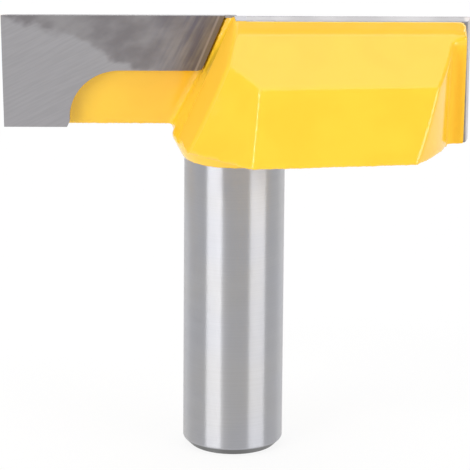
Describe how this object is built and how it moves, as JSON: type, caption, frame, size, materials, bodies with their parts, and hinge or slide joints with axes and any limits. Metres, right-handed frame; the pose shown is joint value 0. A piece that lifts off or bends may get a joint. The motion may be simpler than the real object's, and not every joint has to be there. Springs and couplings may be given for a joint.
{
  "type": "surfacing router bit",
  "caption": "Straight-shank router bit with a wide flat cutting head: enamelled steel wings, chip gullets and brazed L-shaped carbide tips for planing boards and slabs.",
  "frame": {"origin": "centre of the flat end face of the shank", "axes": "+Z along the shank to the cutting end; the two bottom cutting edges lie along X; +Y is the way the +X wing's cutting face looks"},
  "size_m": [0.0588, 0.0368, 0.0561],
  "materials": {
    "yellow_enamel": "glossy yellow powder enamel over steel",
    "ground_steel": "cylindrically ground bare steel",
    "carbide": "diamond-ground grey tungsten carbide",
    "braze": "silver braze and bare ground steel along the cutting edges"
  },
  "bodies": {
    "root": {"cutter_body": "yellow_enamel", "carbide_tip_left": "carbide", "carbide_tip_right": "carbide"}
  },
  "joints": []
}
